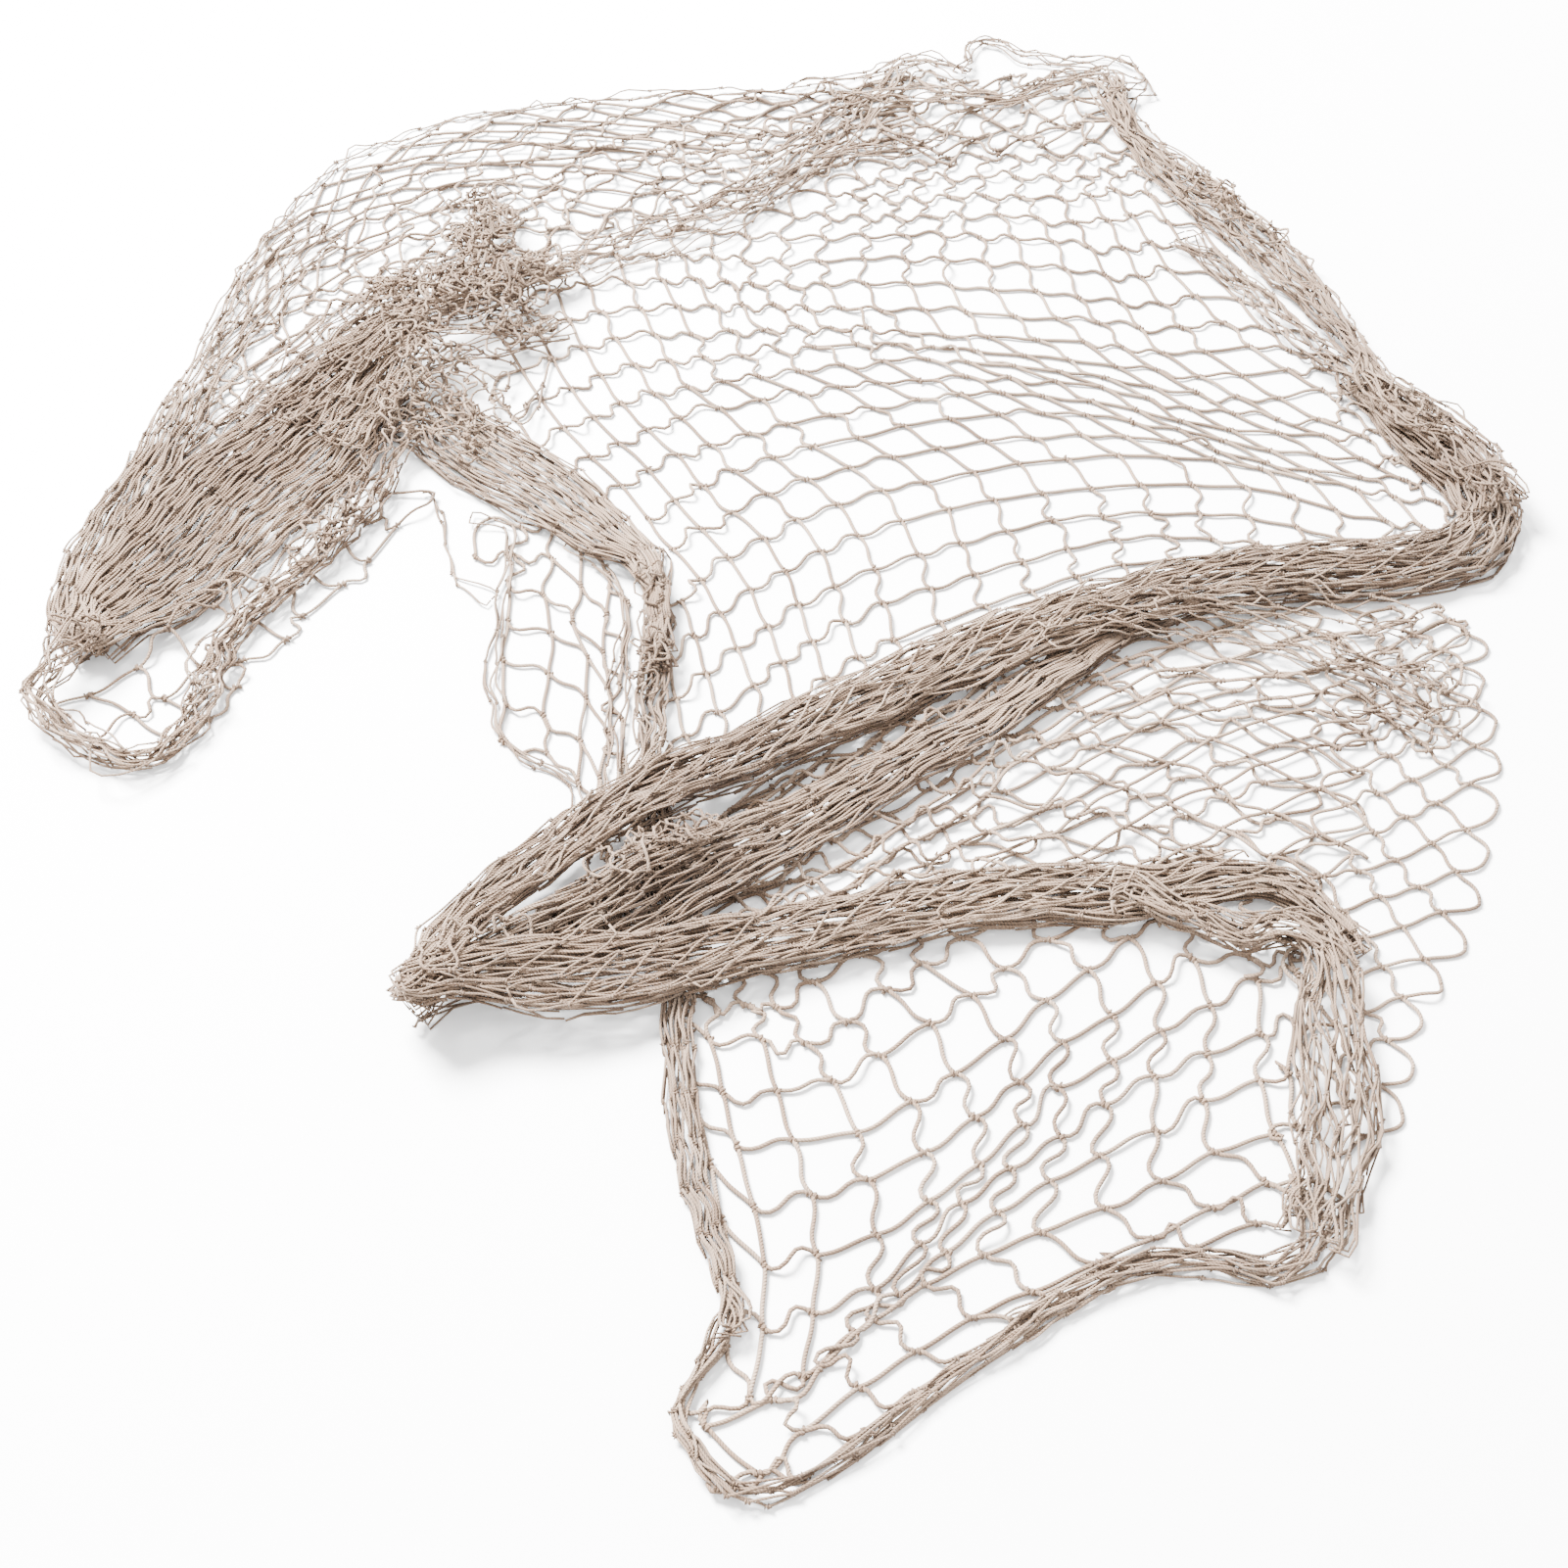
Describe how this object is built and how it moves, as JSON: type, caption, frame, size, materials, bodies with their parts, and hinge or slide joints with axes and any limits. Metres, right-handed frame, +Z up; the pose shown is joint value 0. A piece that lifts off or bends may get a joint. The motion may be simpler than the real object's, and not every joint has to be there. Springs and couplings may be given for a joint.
{
  "type": "decorative fishing net",
  "caption": "Knotted cotton net lying loose, with wide open panels, its slack gathered into thick folds, a crumpled heap and two drawn-together ends.",
  "frame": {"origin": "middle of the net's bounding box, on the surface it lies on", "axes": "+X to the right, +Y to the back along the net's longer side, +Z up"},
  "size_m": [0.7014, 0.9079, 0.0361],
  "materials": {
    "net": "matte natural cotton twine"
  },
  "bodies": {
    "root": {"net": "net"}
  },
  "joints": []
}
